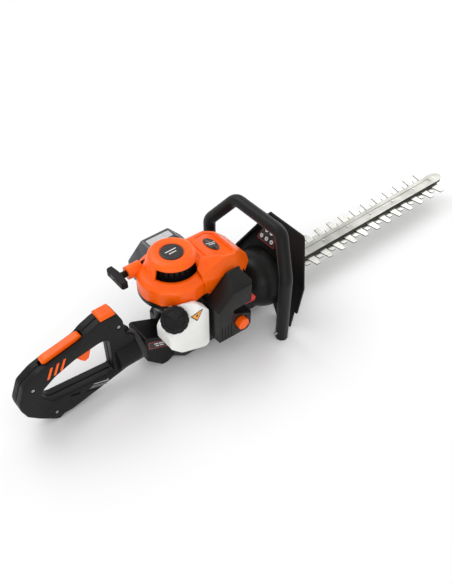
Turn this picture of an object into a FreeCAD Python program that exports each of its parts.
"""Petrol hedge trimmer: engine, gearcase, double-sided blades, front loop handle and swivelling rear handle.

The frame is +X towards the blade tip, +Y left, +Z up, with the ground at Z = 0. Lengths are millimetres.
"""
import FreeCAD, Part
import Sketcher
import math
import os
from FreeCAD import Placement, Rotation, Vector

doc = FreeCAD.newDocument("hedge_trimmer")
sheet = doc.addObject("Spreadsheet::Sheet", "sizes")

DRIVING = [
    # anchors
    ("blade_z", 48.0, "height of the plane between the two blades"),
    ("engine_x", -223.0, "crankshaft axis, along the tool"),
    ("engine_y", 16.0, "crankshaft axis, to the left of the blade centre line"),
    ("swivel_z", 67.0, "height of the rear handle's swivel axis"),
    ("swivel_x", -336.0, "face where the rear handle meets the frame"),
    # blades
    ("pitch", 38.0, "tooth pitch"),
    ("teeth", 12.0, "teeth along one edge"),
    ("tooth_x", 114.0, "first tooth"),
    ("blade_thick", 2.4, "thickness of one blade"),
    ("blade_gap", 0.2, "oil gap between the blades"),
    ("strip_half", 17.0, "half width of the blade strip"),
    ("upper_reach", 44.0, "tip of the upper teeth from the centre line"),
    ("lower_reach", 31.0, "tip of the lower teeth from the centre line"),
    ("stroke", 16.0, "full travel of one blade"),
    ("bar_half", 15.0, "half width of the guide bar"),
    ("bar_thick", 6.5, "thickness of the guide bar"),
    ("bar_start", -84.0, "rear end of the guide bar"),
    ("bar_tip", 574.0, "front end of the guide bar"),
    ("bolt_radius", 4.0, "shoulder radius of a blade bolt"),
    ("bolt_count", 9.0, "bolts along the guide bar"),
    # gearing
    ("gear_module", 1.5, "tooth module of the reduction gears"),
    ("gear_teeth", 44.0, "teeth of the drive gear"),
    ("pinion_teeth", 13.0, "teeth of the clutch pinion"),
    ("gear_thick", 8.0, "face width of the gears"),
    ("shaft_radius", 6.0, "radius of the crank, pinion and gear shafts"),
    ("run_fit", 0.05, "radial clearance of a shaft that runs in a hole"),
    ("rod_thick", 4.0, "thickness of the blade rods and eccentrics"),
    ("cam_radius", 19.0, "radius of an eccentric"),
    ("case_floor", 10.0, "underside of the gearcase"),
    ("case_split", 54.0, "joint between the gearcase halves"),
    ("case_top", 76.0, "top of the gearcase"),
    # engine
    ("clutch_top", 104.0, "top of the clutch housing"),
    ("drum_radius", 38.0, "outer radius of the clutch drum"),
    ("crank_z", 129.0, "height of the cylinder axis"),
    ("crankcase_top", 154.0, "top of the crankcase"),
    ("crankcase_radius", 44.0, "outer radius of the crankcase"),
    ("throw", 14.0, "crank throw, half the piston stroke"),
    ("bore_radius", 16.0, "cylinder bore"),
    ("fin_half", 26.0, "half width of the cylinder fins"),
    ("rod_length", 50.0, "connecting rod, pin to pin"),
    ("flywheel_radius", 48.0, "flywheel"),
    ("skirt_radius", 70.0, "outer radius of the starter housing"),
    ("skirt_z", 155.0, "lower edge of the starter housing"),
    ("dome_z", 229.0, "top of the starter housing"),
    ("shell", 3.0, "wall of the moulded covers"),
    ("pulley_radius", 38.0, "rope groove of the starter pulley"),
    ("rope_radius", 1.8, "starter rope"),
    ("rope_z", 188.0, "height of the starter rope"),
    # handles
    ("grip_half", 16.0, "half width of the rear handle"),
    ("spigot_radius", 22.0, "swivel spigot"),
    ("collar_radius", 31.0, "swivel collar"),
    ("tube_radius", 13.0, "front handle tube"),
    ("loop_half", 118.0, "half width of the front handle, centre to centre"),
    ("loop_top", 226.0, "height of the front handle's top tube"),
    ("guard_thick", 4.0, "wall of the hand guard"),
    # tank and filter
    ("tank_face", -74.0, "outer face of the fuel tank"),
    ("cap_radius", 26.0, "fuel cap"),
    ("neck_radius", 17.0, "bore of the tank neck"),
    ("cover_face", -96.0, "outer face of the air filter cover"),
    ("base_face", -58.0, "outer face of the filter base plate"),
    ("knob_radius", 13.0, "filter knob"),
]


class Size:
    """A length: its number, and the expression that ties a property to the sheet."""

    def __init__(self, number, text):
        self.number = number
        self.text = text

    def combine(self, other, sign, result):
        return Size(result, f"({self.text} {sign} {as_size(other).text})")

    def __add__(self, other):
        return self.combine(other, "+", self.number + as_size(other).number)

    def __sub__(self, other):
        return self.combine(other, "-", self.number - as_size(other).number)

    def __mul__(self, other):
        return self.combine(other, "*", self.number * as_size(other).number)

    def __truediv__(self, other):
        return self.combine(other, "/", self.number / as_size(other).number)

    def __radd__(self, other):
        return as_size(other) + self

    def __rsub__(self, other):
        return as_size(other) - self

    def __rmul__(self, other):
        return as_size(other) * self

    def __neg__(self):
        return Size(-self.number, f"(-1 * {self.text})")


def as_size(value):
    if isinstance(value, Size):
        return value
    return Size(float(value), f"{float(value):.6f}")


def root(size):
    return Size(math.sqrt(size.number), f"sqrt({size.text})")


class Dimensions:
    """The driving dimensions by name."""

    def __init__(self):
        for row, (name, value, note) in enumerate(DRIVING, start=1):
            sheet.set(f"A{row}", name)
            sheet.set(f"B{row}", str(value))
            sheet.set(f"C{row}", note)
            sheet.setAlias(f"B{row}", name)
            setattr(self, name, Size(value, f"sizes.{name}"))


D = Dimensions()
doc.recompute()

# places that several pieces share
CENTRES = D.gear_module * (D.gear_teeth + D.pinion_teeth) / 2
GEAR_X = D.engine_x + root(CENTRES * CENTRES - D.engine_y * D.engine_y)
UPPER_Z = D.blade_z + D.blade_gap / 2
LOWER_Z = D.blade_z - D.blade_gap / 2 - D.blade_thick
BAR_Z = UPPER_Z + D.blade_thick + D.blade_gap
UPPER_ROD_Z = UPPER_Z + D.blade_thick
LOWER_ROD_Z = LOWER_Z - D.rod_thick
GEAR_Z = D.case_split + 2
TAIL_X = GEAR_X + D.cam_radius + 12
ROD_END_X = D.bar_start - D.stroke / 2 - 8
BOLT_X = D.tooth_x - D.pitch * 4.5
ROPE_Y = D.engine_y + D.pulley_radius + D.rope_radius
CAP_AXIS = Vector(-0.46, -0.55, 0.70).normalize()
CAP_SEAT = Vector(D.engine_x.number - 51, -58, 143)
CAP_TURN = Rotation(Vector(0, 0, 1), CAP_AXIS)
ALONG_X = Rotation(Vector(0, 0, 1), Vector(1, 0, 0))
OUT_RIGHT = Rotation(Vector(0, 0, 1), Vector(0, -1, 0))


def bind(thing, name, value):
    """Ties one property to the sheet."""
    thing.setExpression(name, as_size(value).text)


def place(thing, x=0, y=0, z=0, turn=Rotation()):
    thing.Placement = Placement(Vector(as_size(x).number, as_size(y).number, as_size(z).number), turn)
    for axis, value in zip("xyz", (x, y, z)):
        bind(thing, f"Placement.Base.{axis}", value)


class Piece:
    """A PartDesign body. Planes: XY (start and end along Z), XZ (along Y), YZ (along X)."""

    def __init__(self, label):
        self.body = doc.addObject("PartDesign::Body", label)
        self.body.Label = label
        self.count = 0

    def at(self, x=0, y=0, z=0, turn=Rotation()):
        place(self.body, x, y, z, turn)
        return self

    def sketch(self, plane, offset, loops, circles):
        self.count += 1
        drawing = self.body.newObject("Sketcher::SketchObject", f"{self.body.Name}_sketch{self.count}")
        planes = {feature.Role: feature for feature in self.body.Origin.OriginFeatures}
        drawing.AttachmentSupport = [(planes[f"{plane}_Plane"], "")]
        drawing.MapMode = "FlatFace"
        bind(drawing, "AttachmentOffset.Base.z", offset)
        for loop in loops:
            draw_loop(drawing, loop)
        for x, y, radius in circles:
            draw_circle(drawing, x, y, radius)
        return drawing

    def pad(self, plane, start, end, *loops, circles=()):
        start, end = as_size(start), as_size(end)
        offset = -end if plane == "XZ" else start
        drawing = self.sketch(plane, offset, loops, circles)
        feature = self.body.newObject("PartDesign::Pad", f"{self.body.Name}_pad{self.count}")
        feature.Profile = drawing
        feature.Length = end.number - start.number
        bind(feature, "Length", end - start)
        return feature

    def cut(self, plane, start, end, *loops, circles=()):
        start, end = as_size(start), as_size(end)
        offset = -start if plane == "XZ" else end
        drawing = self.sketch(plane, offset, loops, circles)
        feature = self.body.newObject("PartDesign::Pocket", f"{self.body.Name}_cut{self.count}")
        feature.Profile = drawing
        feature.Length = end.number - start.number
        bind(feature, "Length", end - start)
        return feature

    def spin(self, outline):
        """Turns an outline of (radius, height) points about the body's own Z axis."""
        drawing = self.sketch("XZ", 0, [outline], ())
        feature = self.body.newObject("PartDesign::Revolution", f"{self.body.Name}_spin{self.count}")
        feature.Profile = drawing
        feature.ReferenceAxis = (drawing, ["V_Axis"])
        feature.Angle = 360
        return feature

    def along(self, feature, axis, count, length):
        """Repeats a feature in a row."""
        axes = {item.Role: item for item in self.body.Origin.OriginFeatures}
        pattern = self.body.newObject("PartDesign::LinearPattern", f"{self.body.Name}_row{self.count}")
        pattern.Originals = [feature]
        pattern.Direction = (axes[f"{axis}_Axis"], [""])
        bind(pattern, "Length", length)
        pattern.Occurrences = int(as_size(count).number)
        bind(pattern, "Occurrences", count)
        self.body.Tip = pattern
        return pattern

    def around(self, feature, count):
        """Repeats a feature about the body's own Z axis."""
        axes = {item.Role: item for item in self.body.Origin.OriginFeatures}
        pattern = self.body.newObject("PartDesign::PolarPattern", f"{self.body.Name}_ring{self.count}")
        pattern.Originals = [feature]
        pattern.Axis = (axes["Z_Axis"], [""])
        pattern.Angle = 360
        pattern.Occurrences = count
        self.body.Tip = pattern
        return pattern

    def soften(self, feature, radius, pick):
        """Rounds the edges of the last feature that pick accepts."""
        doc.recompute()
        names = [f"Edge{i}" for i, edge in enumerate(feature.Shape.Edges, start=1) if pick(edge)]
        rounding = self.body.newObject("PartDesign::Fillet", f"{self.body.Name}_round{self.count}")
        rounding.Base = (feature, names)
        rounding.Radius = as_size(radius).number
        bind(rounding, "Radius", radius)
        return rounding


def draw_loop(drawing, points):
    """Draws a closed outline and ties each corner to the sheet."""
    points = [(as_size(x), as_size(y)) for x, y in points]
    corners = [Vector(x.number, y.number, 0) for x, y in points]
    first = drawing.GeometryCount
    count = len(corners)
    for i in range(count):
        drawing.addGeometry(Part.LineSegment(corners[i], corners[(i + 1) % count]), False)
    for i, (x, y) in enumerate(points):
        following = first + (i + 1) % count
        drawing.addConstraint(Sketcher.Constraint("Coincident", first + i, 2, following, 1))
        tie_point(drawing, first + i, 1, x, y)


def draw_circle(drawing, x, y, radius):
    x, y, radius = as_size(x), as_size(y), as_size(radius)
    centre = Vector(x.number, y.number, 0)
    index = drawing.addGeometry(Part.Circle(centre, Vector(0, 0, 1), radius.number), False)
    tie_point(drawing, index, 3, x, y)
    number = drawing.addConstraint(Sketcher.Constraint("Radius", index, radius.number))
    drawing.setExpression(f"Constraints[{number}]", radius.text)


def tie_point(drawing, index, end, x, y):
    """Sets a point's distances from the sketch's origin."""
    for kind, value in (("DistanceX", x), ("DistanceY", y)):
        number = drawing.addConstraint(Sketcher.Constraint(kind, -1, 1, index, end, value.number))
        drawing.setExpression(f"Constraints[{number}]", value.text)


def box_outline(x_low, x_high, y_low, y_high):
    return [(x_low, y_low), (x_high, y_low), (x_high, y_high), (x_low, y_high)]


def upright(axis):
    """Accepts straight edges along one axis."""
    def pick(edge):
        line = edge.Curve
        return isinstance(line, Part.Line) and abs(abs(line.Direction.dot(axis)) - 1) < 1e-6
    return pick


def block(name, x, y, z):
    """A Part box between pairs of limits."""
    solid = doc.addObject("Part::Box", name)
    for side, (low, high) in zip(("Length", "Width", "Height"), (x, y, z)):
        bind(solid, side, as_size(high) - as_size(low))
    place(solid, x[0], y[0], z[0])
    return solid


def rod(name, radius, length, x, y, z, turn=Rotation()):
    """A Part cylinder from its base centre."""
    solid = doc.addObject("Part::Cylinder", name)
    bind(solid, "Radius", radius)
    bind(solid, "Height", length)
    place(solid, x, y, z, turn)
    return solid


def fused(name, pieces):
    solid = doc.addObject("Part::MultiFuse", name)
    solid.Shapes = pieces
    solid.Refine = True
    return solid


def grouped(name, pieces):
    """Like fasteners that share one node."""
    solid = doc.addObject("Part::Compound", name)
    solid.Links = pieces
    return solid


def less(name, base, *tools):
    """The base with the tools cut away."""
    cutter = tools[0] if len(tools) == 1 else fused(f"{name}_tools", list(tools))
    solid = doc.addObject("Part::Cut", name)
    solid.Base = base
    solid.Tool = cutter
    return solid


def direct(name, shape):
    """A feature whose shape is made with Part's own functions."""
    feature = doc.addObject("Part::Feature", name)
    feature.Shape = shape
    return feature


def value(size):
    return as_size(size).number


def bent_path(points, radius):
    """A wire through the points with round corners."""
    corners = [Vector(*[value(c) for c in point]) for point in points]
    edges = []
    start = corners[0]
    for before, corner, after in zip(corners, corners[1:], corners[2:]):
        inward = (before - corner).normalize()
        onward = (after - corner).normalize()
        half = inward.getAngle(onward) / 2
        setback = radius / math.tan(half)
        middle = corner + (inward + onward).normalize() * (radius / math.sin(half) - radius)
        entry, leave = corner + inward * setback, corner + onward * setback
        edges.append(Part.makeLine(start, entry))
        edges.append(Part.Arc(entry, middle, leave).toShape())
        start = leave
    edges.append(Part.makeLine(start, corners[-1]))
    return Part.Wire(edges)


def tube(points, bend, outer, inner=0):
    """A round tube or rod along a bent path."""
    path = bent_path(points, bend)
    start = path.Edges[0].Vertexes[0].Point
    heading = path.Edges[0].tangentAt(path.Edges[0].FirstParameter)

    def sweep(radius):
        ring = Part.Wire(Part.makeCircle(value(radius), start, heading))
        return path.makePipeShell([ring], True, True)
    solid = sweep(outer)
    return solid.cut(sweep(inner)) if inner else solid


# ---- gearcase and structure ----

def main_frame():
    """The neck from the swivel down to the back of the gearcase."""
    frame = Piece("main_frame")
    front = D.engine_x - D.crankcase_radius + 2
    outline = [(D.swivel_x + 12, D.swivel_z - D.collar_radius),
               (D.swivel_x + 12, D.swivel_z + D.collar_radius),
               (front, D.case_top - 6), (front, D.case_floor), (front - 12, 2), (front - 26, 2)]
    neck = frame.pad("XZ", -28, 28, outline)
    frame.soften(neck, 5, upright(Vector(0, 1, 0)))
    return frame.body


def swivel_spigot():
    """The frame's half of the swivel: a flange and the tube that the rear handle turns on."""
    flange = Piece("spigot_flange").at(D.swivel_x, 0, D.swivel_z, ALONG_X)
    disc = flange.pad("XY", 0, 12, circles=[(0, 0, D.collar_radius), (0, 0, D.spigot_radius)])
    flange.soften(disc, 1.5, lambda edge: edge.Length > 150)
    spigot = Piece("spigot_tube").at(D.swivel_x - 42.5, 0, D.swivel_z, ALONG_X)
    bore = D.spigot_radius - 5
    rim = D.spigot_radius + 4
    spigot.spin([(bore, 0), (rim, 0), (rim, 7.3), (D.spigot_radius, 7.3), (D.spigot_radius, 54.5),
                 (bore, 54.5)])
    return fused("swivel_spigot", [flange.body, spigot.body])


def case_outline(wall):
    """The gearcase in plan, in from its outer face by wall."""
    back = D.engine_x - D.crankcase_radius + 2 + wall
    left, right = D.engine_y + 42 - wall, -44 + wall
    return [(back, right + 14), (back, left - 12), (back + 18, left), (D.engine_x + 12, left),
            (GEAR_X + 20, 42 - wall), (GEAR_X + 62, 27 - wall), (D.bar_start + 60, 27 - wall),
            (D.bar_start + 60, -27 + wall), (GEAR_X + 62, -27 + wall), (GEAR_X + 20, right),
            (back + 18, right)]


def gearcase_lower():
    """Lower half of the gearcase: an open tray whose front is the blade channel."""
    case = Piece("gearcase_lower")
    case.pad("XY", D.case_floor, D.case_split, case_outline(0))
    ring = D.cam_radius + 6 + D.stroke / 2 + 2
    case.cut("XY", D.case_floor + 10, D.case_split,
             box_outline(GEAR_X - ring, GEAR_X + ring, -ring + 6, ring - 6))
    case.cut("XY", D.case_floor + 10, D.case_split, box_outline(GEAR_X + 10, D.bar_start + 61, -22, 22))
    case.cut("XY", D.case_floor + 2, D.case_floor + 10, circles=[(GEAR_X, 0, 13)])
    case.cut("XY", D.case_floor - 1, D.case_floor + 10, box_outline(GEAR_X + 60, D.bar_start + 61, -13, 13))
    for x, y in case_screws():
        case.cut("XY", D.case_split - 16, D.case_split, circles=[(x, y, 2.5)])
    return case.body


def case_screws():
    """Screws round the rim of the gearcase."""
    return [(GEAR_X + 52, 28), (GEAR_X + 52, -28), (GEAR_X + 18, 37), (GEAR_X + 18, -37),
            (D.bar_start + 44, 24), (D.bar_start + 44, -24)]


def gearcase_upper():
    """Upper half: gear chamber, bearing seats and the cover of the blade channel."""
    case = Piece("gearcase_upper")
    case.pad("XY", D.case_split, D.case_top, case_outline(0))
    gear_room = D.gear_module * (D.gear_teeth / 2 + 1) + 1.5
    pinion_room = D.gear_module * (D.pinion_teeth / 2 + 1) + 1.5
    case.cut("XY", D.case_split, D.case_split + 12, circles=[(GEAR_X, 0, gear_room)])
    case.cut("XY", D.case_split, D.case_split + 12, circles=[(D.engine_x, D.engine_y, pinion_room)])
    case.cut("XY", D.case_split, D.case_split + 5,
             box_outline(GEAR_X + 10, D.bar_start + 61, -D.bar_half - 0.2, D.bar_half + 0.2))
    case.cut("XY", D.case_split, D.case_split + 20, circles=[(GEAR_X, 0, 13)])
    case.cut("XY", D.case_split, D.case_top, circles=[(D.engine_x, D.engine_y, D.shaft_radius + 1)])
    case.cut("XY", D.case_split + 13, D.case_top, circles=[(D.engine_x, D.engine_y, 15)])
    case.cut("XY", D.case_top - 8, D.case_top, box_outline(D.bar_start + 2, D.bar_start + 61, -30, 30))
    for x, y in case_screws():
        case.cut("XY", D.case_split, D.case_top, circles=[(x, y, 2.5)])
    return case.body


def frame_screws():
    """Cap screws of the gearcase, and the screws of the front handle's clamps."""
    screws = []
    for i, (x, y) in enumerate(case_screws(), start=1):
        seat = D.case_top - 3 if i > 4 else D.case_top
        shank = rod(f"case_screw_shank{i}", 2.5, seat - D.case_split + 15, x, y, D.case_split - 15)
        head = rod(f"case_screw_head{i}", 4.5, 4, x, y, seat)
        screws.append(fused(f"case_screw{i}", [shank, head]))
    return grouped("frame_screws", screws + leg_screws())


def ring(name, inner, outer, x, y, low, high):
    """A plain bearing or bush about a vertical axis."""
    piece = Piece(name)
    piece.pad("XY", low, high, circles=[(x, y, inner), (x, y, outer)])
    return piece.body


def bearings():
    """Bearings of the drive gear, the pinion and the crankshaft."""
    inner = D.shaft_radius + D.run_fit
    x, y, high = D.engine_x, D.engine_y, D.crankcase_top
    return grouped("bearings", [
        ring("crank_bearing_low", inner, 14, x, y, D.clutch_top, D.clutch_top + 8),
        ring("crank_bearing_high", inner, 14, x, y, high - 8, high),
        ring("gear_bearing_low", inner, 13, GEAR_X, 0, D.case_floor + 2, D.case_floor + 10),
        ring("gear_bearing_high", inner, 13, GEAR_X, 0, D.case_split + 12, D.case_split + 20),
        ring("pinion_bearing", inner, 15, x, y, D.case_split + 13, D.case_top)])


# ---- reduction gears ----

def tooth_flank(teeth, addendum, side):
    """One involute flank, from the base or root circle to the tip, as a curve."""
    pressure = math.radians(25)
    pitch_radius = value(D.gear_module) * teeth / 2
    base = pitch_radius * math.cos(pressure)
    tip = pitch_radius + addendum
    backlash = 0.09
    half_tooth = math.pi / (2 * teeth) - backlash / pitch_radius
    offset = half_tooth + math.tan(pressure) - pressure
    low = max(base, pitch_radius - 1.2 * value(D.gear_module))
    points = []
    for step in range(7):
        radius = low + (tip - low) * step / 6
        roll = math.acos(base / radius)
        angle = side * (offset - (math.tan(roll) - roll))
        points.append((radius, angle))
    return points


def gear_face(teeth):
    """A spur gear's outline as a face about the origin, with a tooth on the +X axis."""
    module = value(D.gear_module)
    root_radius = module * teeth / 2 - 1.2 * module

    def polar(radius, angle):
        return Vector(radius * math.cos(angle), radius * math.sin(angle), 0)
    edges = []
    previous = None
    first = None
    for number in range(teeth):
        turn = 2 * math.pi * number / teeth
        rise = [polar(r, a + turn) for r, a in tooth_flank(teeth, module * 0.95, -1)]
        fall = [polar(r, a + turn) for r, a in reversed(tooth_flank(teeth, module * 0.95, 1))]
        foot = polar(root_radius, turn - tooth_flank(teeth, module, 1)[0][1])
        heel = polar(root_radius, turn + tooth_flank(teeth, module, 1)[0][1])
        if previous is not None:
            edges.append(Part.makeLine(previous, foot))
        first = first or foot
        for curve in (rise, fall):
            spline = Part.BSplineCurve()
            spline.interpolate(curve)
            if curve is rise and (foot - curve[0]).Length > 1e-4:
                edges.append(Part.makeLine(foot, curve[0]))
            edges.append(spline.toShape())
            if curve is rise:
                edges.append(Part.makeLine(rise[-1], fall[0]))
        if (heel - fall[-1]).Length > 1e-4:
            edges.append(Part.makeLine(fall[-1], heel))
        previous = heel
    edges.append(Part.makeLine(previous, first))
    return Part.Face(Part.Wire(edges))


def mesh_angle():
    """Direction from the drive gear to the pinion, in degrees."""
    return math.degrees(math.atan2(value(D.engine_y), value(D.engine_x - GEAR_X)))


def drive_gear():
    """The large gear on its shaft: a tooth gap faces the pinion at rest."""
    teeth = int(value(D.gear_teeth))
    solid = gear_face(teeth).extrude(Vector(0, 0, value(D.gear_thick)))
    reach = value(D.gear_module) * teeth / 2
    for number in range(6):
        angle = math.radians(60 * number)
        spot = Vector(reach * 0.58 * math.cos(angle), reach * 0.58 * math.sin(angle), 0)
        solid = solid.cut(Part.makeCylinder(reach * 0.17, value(D.gear_thick), spot))
    drop = value(GEAR_Z - D.case_floor - 3)
    shaft = Part.makeCylinder(value(D.shaft_radius), drop + value(D.case_top - GEAR_Z) - 3.5,
                              Vector(0, 0, -drop))
    gear = direct("drive_gear", solid.fuse(shaft).removeSplitter())
    place(gear, GEAR_X, 0, GEAR_Z, Rotation(Vector(0, 0, 1), mesh_angle() + 180 / teeth))
    return gear


def clutch_drum():
    """The cup that the shoes grip, with the pinion on its shaft; a tooth faces the drive gear at rest."""
    teeth = int(value(D.pinion_teeth))
    height = value(D.gear_thick)
    solid = gear_face(teeth).extrude(Vector(0, 0, height))
    top = value(D.case_top + 4 - GEAR_Z)
    solid = solid.fuse(Part.makeCylinder(value(D.shaft_radius), top))
    piece = direct("clutch_pinion", solid.removeSplitter())
    place(piece, D.engine_x, D.engine_y, GEAR_Z, Rotation(Vector(0, 0, 1), mesh_angle() + 180))
    drum = Piece("clutch_cup").at(D.engine_x, D.engine_y, 0)
    low = D.case_top + 4
    rim = D.drum_radius
    drum.spin([(0, low), (rim, low), (rim, low + 19), (rim - 3, low + 19), (rim - 3, low + 3),
               (0, low + 3)])
    return fused("clutch_drum", [piece, drum.body])


# ---- blades ----

def blade(label, low, reach, first, root_half, tip_half):
    """One blade: a strip with slots for the bolts and a row of teeth along both edges."""
    piece = Piece(label)
    tip = D.tooth_x + D.pitch * (D.teeth - 1) + 14
    high = low + D.blade_thick
    edge = D.strip_half
    piece.pad("XY", low, high, [(TAIL_X, -edge + 5), (TAIL_X, edge - 5), (TAIL_X + 8, edge), (tip, edge),
                                (tip + 10, edge - 8), (tip + 10, -edge + 8), (tip, -edge),
                                (TAIL_X + 8, -edge)])
    for side in (1, -1):
        tooth = [(first - root_half, side * (edge - 1)), (first + root_half, side * (edge - 1)),
                 (first + tip_half + 1, side * reach), (first - tip_half, side * reach)]
        feature = piece.pad("XY", low, high, tooth)
        piece.along(feature, "X", D.teeth, D.pitch * (D.teeth - 1))
    half = D.stroke / 2 + D.bolt_radius + 1
    slot = piece.cut("XY", low, high, box_outline(BOLT_X - half, BOLT_X + half, -D.bolt_radius - 0.4,
                                                 D.bolt_radius + 0.4))
    piece.along(slot, "X", D.bolt_count, D.pitch * 2 * (D.bolt_count - 1))
    for x in rivet_places():
        piece.cut("XY", low, high, circles=[(x, 0, 3)])
    return piece.body


def rivet_places():
    return [ROD_END_X - 8, ROD_END_X - 26]


def blade_rod(label, low, blade_low):
    """The rod that joins a blade to its eccentric, with its two rivets."""
    piece = Piece(f"{label}_bar")
    high = low + D.rod_thick
    piece.pad("XY", low, high, circles=[(GEAR_X, 0, D.cam_radius + 6)])
    piece.pad("XY", low, high, box_outline(GEAR_X + D.cam_radius - 3, ROD_END_X, -11, 11))
    piece.cut("XY", low, high, circles=[(GEAR_X, 0, D.cam_radius)])
    for x in rivet_places():
        piece.cut("XY", low, high, circles=[(x, 0, 3)])
    above = low.number > blade_low.number
    return grouped(label, [piece.body] + rivets(label, blade_low if above else low, above))


def eccentric(label, low):
    """The disc in the rod's eye; its slot lets the gear shaft pass through."""
    piece = Piece(label)
    piece.pad("XY", low, low + D.rod_thick, circles=[(GEAR_X, 0, D.cam_radius)])
    half = D.stroke / 2 + D.shaft_radius + 0.6
    piece.cut("XY", low, low + D.rod_thick,
              box_outline(GEAR_X - half, GEAR_X + half, -D.shaft_radius - 0.4, D.shaft_radius + 0.4))
    return piece.body


def rivets(label, low, head_at_top):
    """The two rivets of one blade; their heads are on the rod's side."""
    pins = []
    length = D.rod_thick + D.blade_thick
    for i, x in enumerate(rivet_places(), start=1):
        shank = rod(f"{label}_shank{i}", 3, length, x, 0, low)
        head_z = low + length if head_at_top else low - 1.2
        head = rod(f"{label}_head{i}", 4.5, 1.2, x, 0, head_z)
        pins.append(fused(f"{label}_rivet{i}", [shank, head]))
    return pins


def guide_bar():
    """The bar above the blades, with a groove along its top and a rounded nose."""
    bar = Piece("blade_guide_bar")
    high = BAR_Z + D.bar_thick
    half = D.bar_half
    nose = D.bar_tip
    bar.pad("XY", BAR_Z, high, [(D.bar_start, -half), (nose - 16, -half), (nose - 5, -half + 6), (nose, 0),
                                (nose - 5, half - 6), (nose - 16, half), (D.bar_start, half)])
    groove = box_outline(D.bar_start + 70, nose - 40, -5, 5)
    bar.cut("XY", high - 0.8, high, groove)
    hole = bar.cut("XY", BAR_Z, high, circles=[(BOLT_X, 0, 2.5)])
    bar.along(hole, "X", D.bolt_count, D.pitch * 2 * (D.bolt_count - 1))
    return bar.body


def blade_bolts():
    """Shoulder bolts from below: washer, shoulder through the slots, thread in the bar."""
    bolts = []
    for i in range(int(value(D.bolt_count))):
        x = BOLT_X + D.pitch * 2 * i
        head = rod(f"bolt_head{i}", 7, 3.5, x, 0, LOWER_Z - 3.7)
        shoulder = rod(f"bolt_shoulder{i}", D.bolt_radius, BAR_Z - LOWER_Z + 0.2, x, 0, LOWER_Z - 0.2)
        thread = rod(f"bolt_thread{i}", 2.5, D.bar_thick + 0.4, x, 0, BAR_Z)
        bolts.append(fused(f"blade_bolt{i}", [head, shoulder, thread]))
    return grouped("blade_bolts", bolts)


def nose_plate():
    """Steel plate under the blades at the gearcase mouth; it carries the bar's load."""
    plate = Piece("nose_block")
    low = D.case_floor + 10
    plate.pad("XY", low, LOWER_Z - 3.7, box_outline(BOLT_X - 9, BOLT_X + D.pitch * 2 + 12, -21.5, 21.5))
    return plate.body


# ---- engine ----

def clutch_housing():
    """The bell round the clutch, under the crankcase."""
    bell = Piece("clutch_housing").at(D.engine_x, D.engine_y, 0)
    low, high = D.case_top, D.clutch_top
    inner, outer = D.drum_radius + 2, D.crankcase_radius
    bell.spin([(inner, low), (outer, low), (outer, high), (D.shaft_radius + 2, high),
               (D.shaft_radius + 2, high - 4), (inner, high - 4)])
    return bell.body


def crankcase():
    """The casting round the crank, with the flange that the cylinder bolts to."""
    case = Piece("crankcase").at(D.engine_x, D.engine_y, 0)
    low, high = D.clutch_top, D.crankcase_top
    room = D.throw + 12
    case.spin([(14, low), (D.crankcase_radius, low), (D.crankcase_radius, high), (14, high),
               (14, high - 8), (room, high - 8), (room, low + 8), (14, low + 8)])
    case.pad("YZ", 34, D.crankcase_radius + 4, box_outline(-D.fin_half, D.fin_half, low, high - 1))
    mouth = case.cut("YZ", room - 8, D.crankcase_radius + 4, circles=[(0, D.crank_z, D.bore_radius + 1)])
    return case.body


def crankshaft():
    """Two round webs on one axis, with the lower shaft for the clutch and the upper for the flywheel."""
    shaft = Piece("crankshaft_lower").at(D.engine_x, D.engine_y, 0)
    web = D.throw + 7
    low, high = D.clutch_top + 9, D.crankcase_top - 9
    shaft.spin([(0, D.case_top + 9), (D.shaft_radius, D.case_top + 9), (D.shaft_radius, low), (web, low),
                (web, low + 7), (0, low + 7)])
    upper = Piece("crankshaft_upper").at(D.engine_x, D.engine_y, 0)
    upper.spin([(0, high - 7), (web, high - 7), (web, high), (D.shaft_radius, high),
                (D.shaft_radius, D.crankcase_top + 24), (0, D.crankcase_top + 24)])
    return grouped("crankshaft", [shaft.body, upper.body, flywheel_nut()])


def piston_fittings():
    """The ring, the wrist pin, and the big-end pin between the webs, just clear of both."""
    low = D.clutch_top + 16.3
    big_end = rod("crank_pin", 5, D.crankcase_top - 16.3 - low, D.engine_x, D.engine_y, low)
    return grouped("piston_fittings", [big_end, wrist_pin(), piston_ring()])


def connecting_rod():
    """Big end on the crank pin, small end on the wrist pin."""
    piece = Piece("connecting_rod").at(D.engine_x, D.engine_y, 0)
    low, high = D.crank_z - 4.5, D.crank_z + 4.5
    piece.pad("XY", low, high, circles=[(0, 0, 9)])
    piece.pad("XY", low, high, box_outline(4, D.rod_length - 3, -4, 4))
    piece.pad("XY", low, high, circles=[(D.rod_length, 0, 7)])
    piece.cut("XY", low, high, circles=[(0, 0, 5), (D.rod_length, 0, 4)])
    return piece.body


def piston():
    """Hollow piston with its ring grooves and wrist pin hole."""
    piece = Piece("piston").at(D.engine_x + D.rod_length, D.engine_y, D.crank_z, ALONG_X)
    outer, inner = D.bore_radius - D.run_fit, D.bore_radius - 3
    groove = outer - 1.5
    piece.spin([(inner, -13), (outer, -13), (outer, 7), (groove, 7), (groove, 8.5), (outer, 8.5),
                (outer, 13),
                (0, 13), (0, 9), (inner, 9)])
    piece.cut("YZ", -D.bore_radius - 1, D.bore_radius + 1, circles=[(0, 0, 4)])
    return piece.body


def wrist_pin():
    """The pin through piston and rod, along the crank axis."""
    reach = D.bore_radius - 1
    return rod("wrist_pin", 4, reach * 2, D.engine_x + D.rod_length, D.engine_y, D.crank_z - reach)


def piston_ring():
    """The ring in the piston's groove."""
    piece = Piece("piston_ring").at(D.engine_x + D.rod_length, D.engine_y, D.crank_z, ALONG_X)
    outer = D.bore_radius - D.run_fit
    piece.pad("XY", 7, 8.5, circles=[(0, 0, outer), (0, 0, outer - 1.5)])
    return piece.body


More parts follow.
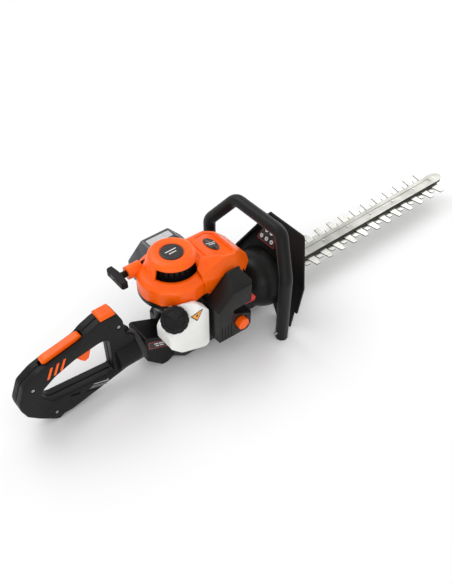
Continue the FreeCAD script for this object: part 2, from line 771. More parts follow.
def cylinder():
    """The finned barrel and head, forwards from the crankcase."""
    start = D.engine_x + D.crankcase_radius + 4
    piece = Piece("cylinder").at(start, D.engine_y, D.crank_z, ALONG_X)
    half = D.fin_half
    roof = D.rod_length + D.throw + 14 - D.crankcase_radius - 4
    top = roof + 20
    piece.pad("XY", 0, top, circles=[(0, 0, D.bore_radius + 4)])
    fin = piece.pad("XY", 0, 3, box_outline(-half, half, -half, half))
    piece.along(fin, "Z", 9, top - 5)
    piece.pad("XY", 2, 12, box_outline(-8, 8, 0, half + 4), box_outline(-8, 8, -half - 4, -1))
    piece.cut("XY", 0, roof, circles=[(0, 0, D.bore_radius)])
    piece.cut("XY", roof, top, circles=[(0, 0, 5)])
    return piece.body


def spark_plug():
    """Plug in the head: thread, hexagon, insulator and terminal."""
    start = D.engine_x + D.rod_length + D.throw + 14
    piece = Piece("spark_plug").at(start, D.engine_y, D.crank_z, ALONG_X)
    piece.spin([(0, 0), (5, 0), (5, 20), (9, 20), (9, 27), (5, 27), (4, 42), (0, 42)])
    return piece.body


def ignition():
    """The rubber boot over the plug, and the coil."""
    start = D.engine_x + D.rod_length + D.throw + 42
    boot = Piece("plug_boot").at(start, D.engine_y, D.crank_z, ALONG_X)
    boot.spin([(5.2, 0), (10, 0), (10, 16), (8, 20), (0, 20), (0, 14), (4.2, 14)])
    arm = rod("plug_cap_arm", 7, 30, start + 10, D.engine_y, D.crank_z + 6)
    bore = rod("plug_cap_bore", 5.2, 14, start, D.engine_y, D.crank_z, ALONG_X)
    cap = less("plug_cap", fused("plug_cap_whole", [boot.body, arm]), bore)
    return grouped("ignition_coil_and_boot", [cap, ignition_coil()])


def flywheel():
    """Cooling fan, magnets and the starter cup, keyed to the crank."""
    piece = Piece("flywheel").at(D.engine_x, D.engine_y, 0)
    low = D.crankcase_top + 3
    rim = D.flywheel_radius
    inner = D.shaft_radius
    piece.spin([(inner, low), (rim, low), (rim, low + 6), (22, low + 6), (22, low + 16), (18, low + 16),
                (18, low + 8), (inner, low + 8)])
    vane = piece.pad("XY", low + 6, low + 16, [(24, -1.2), (rim - 1, 5), (rim - 1, 7.5), (24, 1.2)])
    piece.around(vane, 18)
    return piece.body


def flywheel_nut():
    """Hexagon nut on the crank's upper end."""
    piece = Piece("flywheel_nut").at(D.engine_x, D.engine_y, 0)
    low = D.crankcase_top + 11
    corners = [(9 * math.cos(math.radians(60 * i)), 9 * math.sin(math.radians(60 * i))) for i in range(6)]
    piece.pad("XY", low, low + 6, corners)
    piece.cut("XY", low, low + 6, circles=[(0, 0, D.shaft_radius)])
    return piece.body


def clutch_shoes():
    """Hub and two shoes on the crank's lower end, just clear of the drum."""
    piece = Piece("clutch_shoes").at(D.engine_x, D.engine_y, 0)
    low = D.case_top + 9
    outer = D.drum_radius - 3.8
    piece.pad("XY", low, low + 12, circles=[(0, 0, outer), (0, 0, D.shaft_radius)])
    for side in (1, -1):
        piece.cut("XY", low, low + 12, box_outline(-outer - 1, outer + 1, side * 14 - 1, side * 14 + 1))
    return piece.body


def ignition_coil():
    """Coil beside the flywheel rim, on a post of the crankcase."""
    start = D.engine_x + 6
    low = D.crankcase_top + 1
    inner = D.engine_y + D.flywheel_radius + 1
    return block("coil_block", (start, start + 20), (inner, inner + 9), (low, low + 20))


def intake_manifold():
    """The insulator between cylinder and carburettor."""
    x = D.engine_x + D.crankcase_radius + 11
    inner = D.engine_y - D.fin_half - 4
    return rod_with_bore("intake_manifold", 11, 6, inner - inner_carb(), x, inner)


def inner_carb():
    """Where the carburettor meets the manifold, across the tool."""
    return D.base_face + 40


def rod_with_bore(name, outer, inner, length, x, y):
    """A short pipe towards the right-hand side."""
    piece = Piece(name).at(x, y, D.crank_z, OUT_RIGHT)
    piece.pad("XY", 0, length, circles=[(0, 0, outer), (0, 0, inner)])
    return piece.body


def carburettor():
    """The carburettor body with its bore and pump cover."""
    x = D.engine_x + D.crankcase_radius + 11
    body = block("carb_block", (x - 15, x + 15), (D.base_face + 6, inner_carb()),
                 (D.crank_z - 18, D.crank_z + 14))
    pump = block("carb_pump", (x - 12, x + 12), (D.base_face + 9, inner_carb() - 4),
                 (D.crank_z - 24, D.crank_z - 18))
    bore = rod("carb_bore", 6, 50, x, inner_carb() + 8, D.crank_z, OUT_RIGHT)
    return less("carburettor", fused("carb_whole", [body, pump, intake_manifold()]), bore)


def filter_outline(inset):
    """The air filter cover seen from the right, with the choke's notch in its front edge."""
    back, front = D.engine_x + 21 + inset, D.engine_x + 105 - inset
    low, high = 56 + inset, 188 - inset
    return [(back, low + 4), (back, 140), (back + 14, 152), (front - 32, high), (front - 8, high),
            (front, high - 14),
            (front, NOTCH_TOP), (NOTCH_X, NOTCH_TOP), (NOTCH_X, NOTCH_TOP - 10), (front, NOTCH_TOP - 36),
            (front, low + 22), (front - 14, low)]


NOTCH_X = D.engine_x + 56
NOTCH_TOP = as_size(128)
CHOKE_X = D.engine_x + 68
CHOKE_Z = NOTCH_TOP - 7


def filter_cover():
    """The air filter cover: a shell that slides off to the right."""
    cover = Piece("filter_cover")
    cover.pad("XZ", D.cover_face, D.base_face - 0.3, filter_outline(0))
    cover.cut("XZ", D.cover_face + D.shell, D.base_face, filter_room())
    x, z = knob_place()
    cover.cut("XZ", D.cover_face, D.cover_face + 2.5, circles=[(x, z, D.knob_radius + 2)])
    cover.cut("XZ", D.cover_face, D.base_face, circles=[(x, z, 3.2)])
    return cover.body


def filter_room():
    """The hollow of the cover, which holds the foam and stops short of the notch."""
    back = D.engine_x + 21 + D.shell
    return [(back, 64), (back, 138), (back + 14, 148), (D.engine_x + 70, 180), (D.engine_x + 98, 180),
            (D.engine_x + 98, NOTCH_TOP + 4), (NOTCH_X - 4, NOTCH_TOP + 4), (NOTCH_X - 4, NOTCH_TOP - 14),
            (NOTCH_X + 10, 64)]


def knob_place():
    """Centre of the filter knob, seen from the right."""
    return D.engine_x + 73, as_size(88)


def filter_base():
    """The plate behind the filter, on the carburettor's flange."""
    base = Piece("filter_base")
    base.pad("XZ", D.base_face, D.base_face + 6, [
        (D.engine_x + 24, 60), (D.engine_x + 24, 140), (D.engine_x + 72, 184), (D.engine_x + 102, 184),
        (D.engine_x + 102, 78), (D.engine_x + 90, 60)])
    base.cut("XZ", D.base_face, D.base_face + 6, circles=[
        (D.engine_x + D.crankcase_radius + 11, D.crank_z + 12, 6), (CHOKE_X, CHOKE_Z, 3 + D.run_fit)])
    x, z = knob_place()
    base.cut("XZ", D.base_face, D.base_face + 6, circles=[(x, z, 3.2)])
    return base.body


def air_filter_foam():
    """The foam pad in the hollow of the cover, on the base plate."""
    foam = Piece("air_filter_foam")
    back = D.engine_x + 21 + D.shell + 2
    foam.pad("XZ", D.base_face - 22, D.base_face, [
        (back, 70), (back, 136), (back + 14, 145), (NOTCH_X - 6, 160), (NOTCH_X - 6, 70)])
    return foam.body


def choke_lever():
    """The red lever in the notch, on a shaft through the base plate."""
    lever = Piece("choke_lever").at(CHOKE_X, 0, CHOKE_Z)
    lever.pad("XZ", D.cover_face + 8, D.cover_face + 18,
              [(-6, -4), (-6, 4), (10, 5), (46, 5), (50, -2), (47, -9), (20, -5)])
    lever.pad("XZ", D.cover_face + 18, D.base_face + 4, circles=[(0, 0, 3)])
    return lever.body


def filter_knob():
    """Faceted hand knob with its screw shank."""
    x, z = knob_place()
    knob = Piece("filter_knob").at(x, D.cover_face + 2.3, z, OUT_RIGHT)
    points = []
    for i in range(6):
        for offset, radius in ((-16, D.knob_radius), (16, D.knob_radius - 1.5)):
            angle = math.radians(60 * i + offset)
            points.append((radius * math.cos(angle), radius * math.sin(angle)))
    knob.pad("XY", 0, 13, points)
    knob.pad("XY", -(D.base_face - D.cover_face) - 1, 0.1, circles=[(0, 0, 3)])
    return knob.body


def muffler():
    """The sheet steel muffler on the left of the cylinder, with its outlet pipe."""
    x = D.engine_x + D.crankcase_radius + 11
    inner = D.engine_y + D.fin_half + 4
    can = block("muffler_can", (x - 8, x + 36), (inner, inner + 44), (D.crank_z - 26, D.crank_z + 20))
    pipe = rod("muffler_pipe", 6, 16, x + 20, inner + 30, D.crank_z - 38)
    return fused("muffler", [can, pipe])


def muffler_guard():
    """The moulded guard over the muffler, open underneath and on the engine's side."""
    inner = D.engine_y + D.skirt_radius + 4
    guard = Piece("muffler_guard")
    back, front = D.engine_x - 34, D.engine_x + 94
    low, high = 92, 184
    guard.pad("XZ", inner, inner + 34,
              [(back, low + 20), (back, 150), (back + 34, high), (front - 30, high),
                                       (front, high - 34), (front, low), (back + 20, low)])
    guard.cut("XZ", inner, inner + 34 - D.shell, [
        (back + 3, low - 1), (back + 3, 149), (back + 35, high - 3), (front - 31, high - 3),
        (front - 3, high - 36), (front - 3, low - 1)])
    return guard.body


# ---- starter ----

def starter_housing():
    """The round fan cover with its louvre opening, rope boss and skirt."""
    wall = D.shell
    outer = Piece("starter_shell").at(D.engine_x, D.engine_y, 0)
    r, low, high = D.skirt_radius, D.skirt_z, D.dome_z
    outer.spin([(r - wall, low), (r, low), (r, low + 26), (r - 7, low + 36), (r - 16, low + 41),
                (r - 25, high - 4),
                (r - 31, high), (0, high), (0, high - wall), (r - 33, high - wall), (r - 28, high - 7),
                (r - 19, low + 38), (r - 10, low + 33), (r - wall, low + 24)])
    opening = louvre_opening(D.rope_z + 8.5, high - 8, r - 28, r - 8)
    boss = rod("rope_boss", 12, 26, D.engine_x - 68, ROPE_Y, D.rope_z, ALONG_X)
    post = rod("recoil_post", 6, high - D.rope_z + 6, D.engine_x, D.engine_y, D.rope_z - 6 - 1)
    path = rod("rope_boss_bore", 6, 60, D.engine_x - 76, ROPE_Y, D.rope_z, ALONG_X)
    space = rod("rope_boss_space", D.pulley_radius + 7, 40, D.engine_x, D.engine_y, D.rope_z - 20)
    whole = fused("starter_whole", [outer.body, less("rope_boss_trimmed", boss, space), post])
    return less("starter_housing", whole, path, opening)


def louvre_opening(low, high, inner, outer):
    """The arc-shaped window on the right rear of the dome."""
    window = Piece("louvre_window").at(D.engine_x, D.engine_y, 0)
    angles = [math.radians(a) for a in (196, 215, 234, 253, 272, 291, 308)]
    far = [(outer * math.cos(a), outer * math.sin(a)) for a in angles]
    near = [(inner * math.cos(a), inner * math.sin(a)) for a in reversed(angles)]
    window.pad("XY", low, high, far + near)
    return window.body


def starter_trim():
    """The black grille behind the window, and the rope's eyelet."""
    mesh = Piece("louvre_mesh").at(D.engine_x, D.engine_y, 0)
    outer = D.skirt_radius - 30
    low, high = D.rope_z + 8, D.dome_z - D.shell - 4.5
    mesh.spin([(outer - 2, low), (outer, low), (outer, high), (outer - 2, high)])
    gap = mesh.cut("XZ", -outer - 1, -outer + 6, box_outline(-1.4, 1.4, low + 5, high - 4))
    mesh.around(gap, 24)
    return grouped("starter_trim", [mesh.body, rope_guide()])


def rope_guide():
    """The eyelet where the rope leaves the housing."""
    guide = Piece("rope_guide").at(D.engine_x - 74, ROPE_Y, D.rope_z, ALONG_X)
    hole = D.rope_radius + 0.8
    guide.spin([(hole, 0), (9, 0), (9, 6), (6, 6), (6, 20), (hole, 20)])
    return guide.body


def starter_pulley():
    """The rope drum, on the post under the dome."""
    pulley = Piece("rope_drum").at(D.engine_x, D.engine_y, D.rope_z)
    groove, rim = D.pulley_radius, D.pulley_radius + 5
    bore = 6 + D.run_fit
    pulley.spin([(bore, -7), (rim, -7), (rim, -4), (groove, -4), (groove, 4), (rim, 4), (rim, 7),
                 (bore, 7)])
    return grouped("starter_pulley", [pulley.body, rope_coil()])


def rope_coil():
    """The turns of rope on the pulley."""
    coil = Piece("rope_coil").at(D.engine_x, D.engine_y, D.rope_z)
    coil.pad("XY", -3.8, 3.8,
             circles=[(0, 0, D.pulley_radius + 2 * D.rope_radius), (0, 0, D.pulley_radius)])
    return coil.body


def recoil_spring():
    """The flat spiral spring above the pulley."""
    low = value(D.rope_z) + 8
    turns, inner, outer = 6, 9.0, value(D.pulley_radius) - 6
    strip = 0.9
    points = []
    for step in range(turns * 12 + 1):
        share = step / (turns * 12)
        radius = inner + (outer - inner) * share
        angle = 2 * math.pi * turns * share
        points.append(Vector(radius * math.cos(angle), radius * math.sin(angle), 0))
    near = Part.BSplineCurve()
    near.interpolate(points)
    far = Part.BSplineCurve()
    far.interpolate([point * (1 + strip / point.Length) for point in points])
    ends = [Part.makeLine(near.EndPoint, far.EndPoint), Part.makeLine(far.StartPoint, near.StartPoint)]
    face = Part.Face(Part.Wire([near.toShape(), ends[0], far.toShape(), ends[1]]))
    spring = direct("recoil_spring", face.extrude(Vector(0, 0, 7)))
    place(spring, D.engine_x, D.engine_y, low)
    return spring


def starter_rope():
    """The rope from the eyelet to the grip."""
    start = D.engine_x - D.skirt_radius - 20
    end = D.engine_x - 52
    return rod("starter_rope", D.rope_radius, end - start, start, ROPE_Y, D.rope_z, ALONG_X)


def starter_grip():
    """T-grip: a stem that seats against the eyelet and a bar across it."""
    back = D.engine_x - D.skirt_radius - 20
    stem = Piece("grip_stem").at(back, ROPE_Y, D.rope_z, ALONG_X)
    hole = D.rope_radius
    stem.spin([(hole, 0), (7, 0), (6, 8), (6, 15.7), (hole, 15.7)])
    bar = Piece("grip_bar")
    outline = [(back - 12, ROPE_Y - 25), (back - 8, ROPE_Y - 28), (back + 1, ROPE_Y - 28),
               (back + 3, ROPE_Y - 12),
               (back + 4, ROPE_Y), (back + 3, ROPE_Y + 12), (back + 1, ROPE_Y + 28),
               (back - 8, ROPE_Y + 28),
               (back - 12, ROPE_Y + 25)]
    solid = bar.pad("XY", D.rope_z - 8, D.rope_z + 8, outline)
    bar.soften(solid, 2.5, lambda edge: edge.BoundBox.ZLength < 0.1)
    bore = rod("grip_bore", D.rope_radius, 30, back, ROPE_Y, D.rope_z, ALONG_X)
    return less("starter_grip", fused("grip_whole", [stem.body, bar.body]), bore)


def engine_cover():
    """The orange cover over cylinder and coil, fitted round the starter housing."""
    front, left, right = D.engine_x + 148, D.engine_y + 42, D.engine_y - 56
    low = D.skirt_z
    shell = Piece("cover_shell")
    profile = [(D.engine_x, low), (D.engine_x, 214), (D.engine_x + 62, 208), (front - 26, 192),
               (front, 168),
               (front, low)]
    hollow = [(D.engine_x - 1, low - 1), (D.engine_x - 1, 211), (D.engine_x + 61, 205), (front - 28, 189),
              (front - 3, 167), (front - 3, low - 1)]
    outer = shell.pad("XZ", right, left, profile)
    shell.soften(outer, 9,
                 lambda edge: edge.BoundBox.YLength < 0.1 and edge.BoundBox.ZMin > value(low) + 30)
    shell.cut("XZ", right + D.shell, left - D.shell, hollow)
    drum = rod("cover_seat", D.skirt_radius, 90, D.engine_x, D.engine_y, low - 10)
    gap = rod("cover_plug_gap", 16, 50, D.engine_x + 121, D.engine_y, low - 20)
    return less("engine_cover", shell.body, drum, gap)


def lower_shroud():
    """The black skirt under the starter housing, down to the clutch housing."""
    shroud = Piece("lower_shroud").at(D.engine_x, D.engine_y, 0)
    low, high = D.skirt_z - 26, D.skirt_z
    inner = D.crankcase_radius
    shroud.spin([(inner, low), (inner + 12, low), (D.skirt_radius, high - 10), (D.skirt_radius, high),
                 (D.skirt_radius - 3, high), (D.skirt_radius - 3, high - 9), (inner + 11, low + 3),
                 (inner, low + 3)])
    shroud.cut("XY", low, high, box_outline(6, D.skirt_radius + 5, -D.skirt_radius - 1, D.skirt_radius + 1))
    shroud.cut("XY", low, high, box_outline(-14, D.skirt_radius, -D.skirt_radius - 1, -30))
    return shroud.body


# ---- hand guard and front handle ----

GUARD_FOOT_X = D.bar_start + 56
LEG_X = GUARD_FOOT_X - 30


def hand_guard():
    """The shield in front of the front handle, leaning forwards, with side flanges and feet."""
    guard = Piece("guard_shield")
    thick = D.guard_thick
    wide = D.loop_half
    lean = [(GUARD_FOOT_X, 0), (GUARD_FOOT_X + thick, 0), (GUARD_FOOT_X + 22 + thick, 108),
            (GUARD_FOOT_X + 62 + thick, 181), (GUARD_FOOT_X + 62, 181), (GUARD_FOOT_X + 22, 108)]
    guard.pad("XZ", -wide, wide, lean)
    start = LEG_X + D.tube_radius + 0.4
    flange = [(start, 0), (GUARD_FOOT_X + 6, 0), (GUARD_FOOT_X + 14, 40), (start, 40)]
    for edge in (-wide + 4, wide):
        guard.pad("XZ", edge - 4, edge, flange)
    guard.cut("YZ", -60, 80, [(36, 184), (47, 154), (90, 69), (wide - 3, 42), (wide + 20, 42),
                              (wide + 20, 200),
                              (36, 200)])
    guard.cut("YZ", -60, 80, [(-66, 184), (-66, 200), (-wide - 20, 200), (-wide - 20, 104), (-wide, 104),
                              (-90, 146)])
    guard.cut("YZ", -60, 80, [(-70, -1), (-48, 26), (48, 26), (70, -1)])
    guard.cut("YZ", -60, 80, box_outline(-49, 49, 25, 66))
    return fused("hand_guard", [guard.body] + handle_feet())


def guard_bulge():
    """The smooth dome on the guard over the gearcase's nose."""
    depth, wide, tall, wall, middle = 60.0, 68.0, 62.0, 3.0, 60.0
    outer = doc.addObject("Part::Ellipsoid", "bulge_outer")
    inner = doc.addObject("Part::Ellipsoid", "bulge_inner")
    for solid, less_wall in ((outer, 0.0), (inner, wall)):
        solid.Radius1 = tall - less_wall
        solid.Radius2 = depth - less_wall
        solid.Radius3 = wide - less_wall
        solid.Angle1 = -90
        solid.Angle2 = 90
        place(solid, GUARD_FOOT_X + 6, 0, middle)
    lean = Piece("bulge_front")
    lean.pad("XZ", -90, 90, [(GUARD_FOOT_X - 0.3, -60), (GUARD_FOOT_X - 0.3, 0), (GUARD_FOOT_X + 21.7, 108),
                             (GUARD_FOOT_X + 30, 140), (GUARD_FOOT_X + 90, 140), (GUARD_FOOT_X + 90, -60)])
    floor = block("bulge_floor", (GUARD_FOOT_X - 90, GUARD_FOOT_X + 90), (-90, 90), (-60, 26))
    channel = block("bulge_channel", (GUARD_FOOT_X - 90, GUARD_FOOT_X + 90), (-34, 34), (20, D.case_top + 8))
    return less("guard_bulge", outer, inner, lean.body, floor, channel)


def nose_brackets():
    """The steel at the gearcase's nose: the plate under the blades and the guard's bracket."""
    nose = D.bar_start + 60
    low = D.case_top - 8
    plate = block("bracket_plate", (nose - 28, GUARD_FOOT_X + 6), (-33, 33), (low, low + 5))
    post = block("bracket_post", (GUARD_FOOT_X - 3, GUARD_FOOT_X + 2), (-33, 33), (low, low + 14))
    holes = [rod(f"bracket_hole{i}", 2.5, 8, x, y, low - 1) for i, (x, y) in enumerate(case_screws()[4:])]
    return grouped("nose_brackets", [nose_plate(), less("guard_bracket", fused("bracket_whole", [plate,
                                                                                                 post]), *holes)])


def front_handle():
    """The loop of tube: two legs from the feet, shoulders that lean forwards and a straight top."""
    half, top = value(D.loop_half), value(D.loop_top)
    leg, crown = value(LEG_X), value(LEG_X) + 29
    route = [(leg, half, 0), (leg, half, 158), (crown, 67, top), (crown, -67, top), (leg, -half, 158),
             (leg, -half, 0)]
    return direct("front_handle", tube(route, 26, D.tube_radius, D.tube_radius - 3))


def handle_feet():
    """The moulded clamps that hold the handle's legs, down to the ground."""
    feet = []
    for i, side in enumerate((1, -1), start=1):
        centre = D.loop_half * side
        foot = block(f"foot_block{i}", (LEG_X - 15, GUARD_FOOT_X), (centre - 13, centre + 13), (0, 40))
        room = rod(f"foot_room{i}", D.tube_radius, 60, LEG_X, centre, -5)
        feet.append(less(f"foot{i}", foot, room))
    return feet


def leg_screws():
    """Screws that pin the legs in their clamps."""
    clips = []
    for i, side in enumerate((1, -1), start=1):
        centre = D.loop_half * side
        clips.append(rod(f"leg_screw{i}", 3, 6, LEG_X - 21, centre, 20, ALONG_X))
    return clips


# ---- fuel tank ----

def fuel_tank():
    """The moulded tank on the right, cut back at the corner that carries the filler."""
    inner = as_size(-32)
    body = Piece("tank_body")
    back, front = D.engine_x - 75, D.engine_x + 14
    body.pad("XZ", D.tank_face, inner,
             [(back + 24, 66), (back, 92), (back, 124), (back + 30, 164), (front - 22, 164),
                                       (front, 142), (front, 50), (front - 8, 44)])
    corner = block("tank_corner", (0, 160), (0, 160), (0, 80))
    offset = CAP_TURN.multVec(Vector(-80, -80, 0))
    place(corner, CAP_SEAT.x + offset.x, CAP_SEAT.y + offset.y, CAP_SEAT.z + offset.z, CAP_TURN)
    skirt = rod("tank_skirt_room", D.skirt_radius + 2, 60, D.engine_x, D.engine_y, D.skirt_z - 27)
    gearcase = block("tank_gearcase_room", (back - 1, front + 1), (-44.4, inner + 1), (0, D.case_top + 0.4))
    case = rod("tank_case_room", D.crankcase_radius + 4, 160, D.engine_x, D.engine_y, 20)
    shaped = less("tank_shaped", body.body, corner, skirt, case, gearcase)
    neck = rod("tank_neck", D.neck_radius + 3, 12, CAP_SEAT.x + 4 * -CAP_AXIS.x,
               CAP_SEAT.y + 4 * -CAP_AXIS.y,
               CAP_SEAT.z + 4 * -CAP_AXIS.z, CAP_TURN)
    depth = 16
    room = rod("tank_neck_room", D.neck_radius, 40, CAP_SEAT.x - depth * CAP_AXIS.x,
               CAP_SEAT.y - depth * CAP_AXIS.y,
               CAP_SEAT.z - depth * CAP_AXIS.z, CAP_TURN)
    hollow = block("tank_hollow", (back + 20, front - 5), (D.tank_face + 4, inner - 16), (76, 112))
    return less("fuel_tank", fused("tank_whole", [shaped, neck]), room, hollow)


def cap_part(name, outline):
    """A turned piece on the filler's axis."""
    piece = Piece(name).at(CAP_SEAT.x, CAP_SEAT.y, CAP_SEAT.z, CAP_TURN)
    piece.spin(outline)
    return piece


def fuel_cap():
    """The cap: a knurled cup whose skirt covers the neck."""
    outer, inner = D.cap_radius, D.neck_radius + 3.4
    cap = cap_part("fuel_cap", [(0, 10), (0, 16), (outer - 2, 16), (outer, 14), (outer, 0.4),
                                (inner, 0.4), (inner, 10)])
    notch = cap.cut("XY", 0.4, 16, box_outline(D.cap_radius - 1.5, D.cap_radius + 2, -2, 2))
    cap.around(notch, 12)
    return cap.body


def fuel_cap_seal():
    """The plug with its seal, inside the neck."""
    outer = D.neck_radius - D.run_fit
    return cap_part("fuel_cap_seal", [(0, -6), (outer, -6), (outer, 7), (4, 7), (4, 10), (0, 10)]).body


def fuel_line():
    """Hose from the tank to the carburettor."""
    start = D.engine_x + 14
    carb = D.engine_x + D.crankcase_radius + 11
    side = D.base_face + 9
    low, high = D.case_top - 14, D.crank_z - 24
    route = [(start, side, low), (start + 12, side, low), (start + 12, side, high - 8),
             (carb, side + 7, high - 8),
             (carb, side + 7, high)]
    return direct("fuel_line", tube(route, 3, 2.2))


# ---- rear handle ----

HANDLE_BACK = D.swivel_x - 238
HANDLE_FRONT = D.swivel_x - 0.3
OPENING_FRONT = D.swivel_x - 52


def handle_outline():
    """The rear handle from the side."""
    front, back = HANDLE_FRONT, HANDLE_BACK
    return [(front - 10, 30), (front, 40), (front, 112), (front - 18, 126), (front - 20, 160),
            (front - 30, 184),
            (front - 64, 184), (front - 92, 173), (front - 106, 163), (front - 172, 149), (back + 42, 142),
            (back + 16, 126), (back, 90), (back, 76), (back + 8, 52), (back + 28, 30), (back + 58, 4),
            (back + 78, 0), (back + 92, 0)]


def opening_outline():
    """The finger opening of the rear handle."""
    front, back = OPENING_FRONT, HANDLE_BACK
    return [(front, 44), (front, 124), (front - 8, 134), (front - 20, 136), (front - 72, 128),
            (front - 112, 114),
            (back + 46, 96), (back + 42, 82), (back + 58, 58)]


def trigger_room():
    """The slot for the throttle trigger, open to the finger opening."""
    front = OPENING_FRONT - 20
    return [(front, 118), (front, 150), (front - 30, 152), (front - 62, 148), (front - 62, 118)]


TRIGGER_X = OPENING_FRONT - 27
TRIGGER_Z = as_size(138)
LOCKOUT_X = HANDLE_FRONT - 106
LOCKOUT_Z = as_size(161)


def rear_handle(side):
    """One half of the handle's clamshell; side is +1 for the left."""
    half = Piece("rear_handle_left" if side > 0 else "rear_handle_right")
    wide = D.grip_half
    body = half.pad("XZ", -wide, wide, handle_outline())
    half.soften(body, 5, lambda edge: edge.BoundBox.YLength < 0.1)
    half.cut("XZ", -wide - 1, wide + 1, opening_outline())
    half.pad("YZ", HANDLE_FRONT - 44, HANDLE_FRONT, circles=[(0, D.swivel_z, D.collar_radius)])
    half.cut("YZ", HANDLE_FRONT - 36, HANDLE_FRONT, circles=[(0, D.swivel_z, D.spigot_radius + D.run_fit)])
    half.cut("YZ", D.swivel_x - 43, D.swivel_x - 34.9, circles=[(0, D.swivel_z, D.spigot_radius + 4.1)])
    half.cut("XZ", -5, 5, trigger_room())
    half.cut("XZ", -7.3, 7.3, [(LOCKOUT_X - 76, 139), (LOCKOUT_X - 76, 200), (LOCKOUT_X + 10, 200),
                               (LOCKOUT_X + 10, 156), (LOCKOUT_X - 30, 151)])
    half.cut("XZ", -2.5 - 6.5, 2.5 + 6.5, circles=[(TRIGGER_X, TRIGGER_Z, 2.5 + D.run_fit)])
    half.cut("XZ", -12, 12, circles=[(LOCKOUT_X, LOCKOUT_Z, 2 + D.run_fit)])
    half.cut("XY", 174, 190, box_outline(HANDLE_FRONT - 56, HANDLE_FRONT - 37, -3.3, 3.3))
    half.cut("XY", 94, 130, circles=[(LOCK_X, 0, 3 + D.run_fit)])
    half.cut("XY", 111, 130, circles=[(LOCK_X, 0, 6.3)])
    if side > 0:
        half.cut("XZ", -wide - 15, 0, box_outline(HANDLE_BACK - 1, HANDLE_FRONT + 1, -1, 200))
    else:
        half.cut("XZ", 0, wide + 15, box_outline(HANDLE_BACK - 1, HANDLE_FRONT + 1, -1, 200))
    return half.body


LOCK_X = HANDLE_FRONT - 10


def throttle_trigger():
    """The trigger on its own pivot pin."""
    trigger = Piece("throttle_trigger")
    x, z = TRIGGER_X, TRIGGER_Z
    trigger.pad("XZ", -4.6, 4.6, [(x + 4, z - 4), (x + 3, z + 3), (x - 20, z + 4), (x - 42, z),
                                  (x - 42, z - 12),
                                  (x - 30, z - 30), (x - 22, z - 39), (x - 14, z - 36), (x - 8, z - 18)])
    trigger.pad("XZ", -8.5, 8.5, circles=[(x, z, 2.5)])
    return trigger.body


def throttle_lockout():
    """The long lever on top of the grip that frees the trigger."""
    lever = Piece("throttle_lockout")
    x, z = LOCKOUT_X, LOCKOUT_Z
    body = lever.pad("XZ", -7, 7, [(x + 5, z - 3), (x + 8, z + 6), (x + 2, z + 11), (x - 68, z - 2),
                                   (x - 73, z - 9),
                                   (x - 66, z - 13), (x - 20, z - 5)])
    lever.soften(body, 1.5,
                 lambda edge: edge.BoundBox.YLength < 0.1 and edge.BoundBox.ZMin > z.number - 9.5)
    lever.pad("XZ", -11.5, 11.5, circles=[(x, z, 2)])
    return lever.body


def stop_switch():
    """The engine stop switch: a saddle on top of the handle's head."""
    switch = Piece("stop_switch")
    front = HANDLE_FRONT - 32
    wide = D.grip_half
    top = switch.pad("YZ", front - 31, front - 1,
                     [(-wide, 184.3), (wide, 184.3), (wide - 5, 192), (-wide + 5, 192)])
    switch.soften(top, 1.5, lambda edge: edge.BoundBox.ZMin > 186)
    switch.pad("XY", 177, 185, box_outline(HANDLE_FRONT - 46, HANDLE_FRONT - 38, -3, 3))
    return switch.body


def swivel_lock():
    """The sprung button that locks the handle's swing."""
    button = Piece("swivel_lock").at(LOCK_X, 0, 0)
    button.spin([(0, 100), (3, 100), (3, 116.5), (6, 116.5), (6, 121), (4.5, 123.5), (0, 125)])
    return button.body


def handle_screws():
    """Screws of the clamshell, from the right."""
    screws = []
    places = [(HANDLE_BACK + 30, 110), (HANDLE_BACK + 60, 24), (HANDLE_FRONT - 30, 150),
              (HANDLE_FRONT - 70, 32)]
    for i, (x, z) in enumerate(places, start=1):
        screws.append(rod(f"handle_screw{i}", 3.2, 1.2, x, -D.grip_half, z, OUT_RIGHT))
    return grouped("handle_screws", screws)


def handle_accents():
    """Three slanted bars let into each side."""
    bars = []
    for side in (1, -1):
        for i in range(3):
            x = HANDLE_BACK + 58 + 13 * i
            bar = Piece(f"accent_{'left' if side > 0 else 'right'}{i}")
            z = 118 + 2 * i
            low = D.grip_half * side if side > 0 else -D.grip_half - 0.6
            bar.pad("XZ", low, low + 0.6, [(x, z), (x + 5, z), (x + 16, z + 24), (x + 11, z + 24)])
            bars.append(bar.body)
    return grouped("handle_accents", bars)


# ---- labels ----

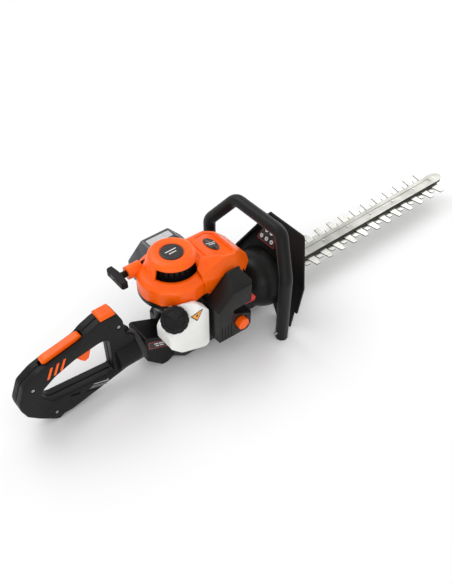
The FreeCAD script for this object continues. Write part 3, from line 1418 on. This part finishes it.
def labels():
    """Blank plates: neck, tank, guard, dome, cover and handle."""
    thin = 0.5
    neck = Piece("neck_label")
    x = D.swivel_x
    neck.pad("XZ", -28 - thin, -28, [(x + 17, 64), (x + 64, 44), (x + 64, 64), (x + 17, 86)])
    tank = Piece("tank_label")
    tx = D.engine_x - 27
    tank.pad("XZ", D.tank_face - thin, D.tank_face, [(tx, 146), (tx + 30, 150), (tx + 15, 126)])
    dome = rod("starter_badge", 22, 0.8, D.engine_x, D.engine_y, D.dome_z)
    muffler_plate = block("muffler_label", (D.engine_x + 6, D.engine_x + 60),
                          (D.engine_y + D.skirt_radius + 12, D.engine_y + D.skirt_radius + 30),
                          (184, 184 + thin))
    return grouped("label_plates", [neck.body, tank.body, dome, muffler_plate])


def nodes():
    """Every sub-part, in the order it goes together."""
    return [
        main_frame(), swivel_spigot(), gearcase_lower(), gearcase_upper(), frame_screws(), bearings(),
        drive_gear(),
        clutch_drum(), blade("upper_blade", UPPER_Z, D.upper_reach, D.tooth_x, 9.5, 5),
        blade("lower_blade", LOWER_Z, D.lower_reach, D.tooth_x - 17, 9, 5),
        blade_rod("upper_rod", UPPER_ROD_Z, UPPER_Z), blade_rod("lower_rod", LOWER_ROD_Z, LOWER_Z),
        eccentric("upper_eccentric", UPPER_ROD_Z), eccentric("lower_eccentric", LOWER_ROD_Z),
        guide_bar(), blade_bolts(), nose_brackets(), clutch_housing(), crankcase(), crankshaft(),
        piston_fittings(),
        connecting_rod(), piston(), cylinder(), spark_plug(), ignition(), flywheel(), clutch_shoes(),
        carburettor(), filter_base(), filter_cover(), air_filter_foam(), choke_lever(), filter_knob(),
        muffler(),
        muffler_guard(), starter_housing(), starter_trim(), starter_pulley(), recoil_spring(),
        starter_rope(),
        starter_grip(), engine_cover(), lower_shroud(), hand_guard(), guard_bulge(), front_handle(),
        fuel_tank(),
        fuel_cap(), fuel_cap_seal(), fuel_line(), rear_handle(1), rear_handle(-1), throttle_trigger(),
        throttle_lockout(), stop_switch(), swivel_lock(), handle_screws(), handle_accents(), labels(),
    ]


def main():
    pieces = nodes()
    doc.recompute()
    for thing in doc.Objects:
        if {"Invalid", "Error"} & set(thing.State):
            raise RuntimeError(f"{thing.Name}: {thing.State}")
    os.makedirs("parts", exist_ok=True)
    for piece in pieces:
        shape = piece.Shape
        if shape.isNull() or not shape.isValid():
            raise RuntimeError(f"{piece.Label}: shape is not valid")
        shape.exportStep(f"parts/{piece.Label}.step")
    print(len(pieces), "nodes")


main()
